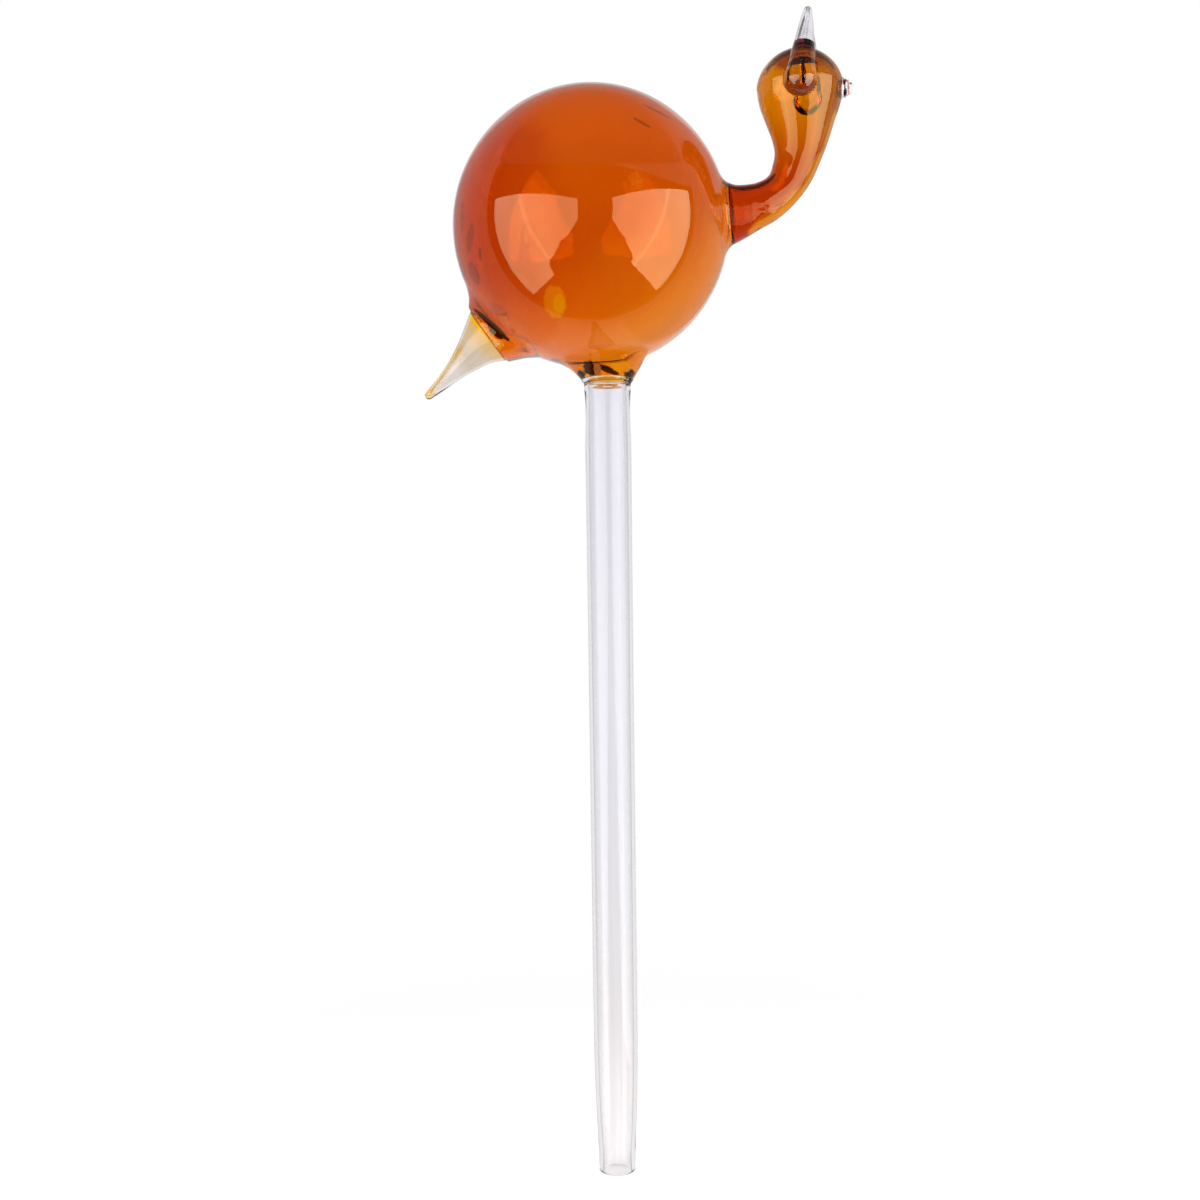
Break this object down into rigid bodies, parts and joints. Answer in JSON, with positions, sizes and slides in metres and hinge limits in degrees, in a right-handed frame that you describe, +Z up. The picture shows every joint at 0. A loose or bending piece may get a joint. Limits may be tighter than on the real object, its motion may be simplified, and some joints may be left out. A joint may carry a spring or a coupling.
{
  "type": "watering globe",
  "caption": "Blown glass plant watering globe in the shape of a snail: amber water globe with bent neck, head, horns and tail on a long clear stem with an open mouth.",
  "frame": {"origin": "on the stem's axis at its shoulder, where the weld ring ends and the plain tube begins", "axes": "+X the way the snail faces, +Y to its left, +Z up along the stem from the mouth to the globe"},
  "size_m": [0.1118, 0.071, 0.2962],
  "materials": {
    "amber_glass": "glossy blown amber glass",
    "clear_glass": "glossy clear solid glass",
    "straw_glass": "glossy pale straw glass, milky in streaks",
    "clear_tube": "glossy clear glass tubing"
  },
  "bodies": {
    "root": {"globe": "amber_glass", "neck_and_head": "amber_glass", "left_horn": "clear_glass", "right_horn": "clear_glass", "nose_bead": "clear_glass", "tail": "straw_glass", "stem": "clear_tube"}
  },
  "joints": []
}
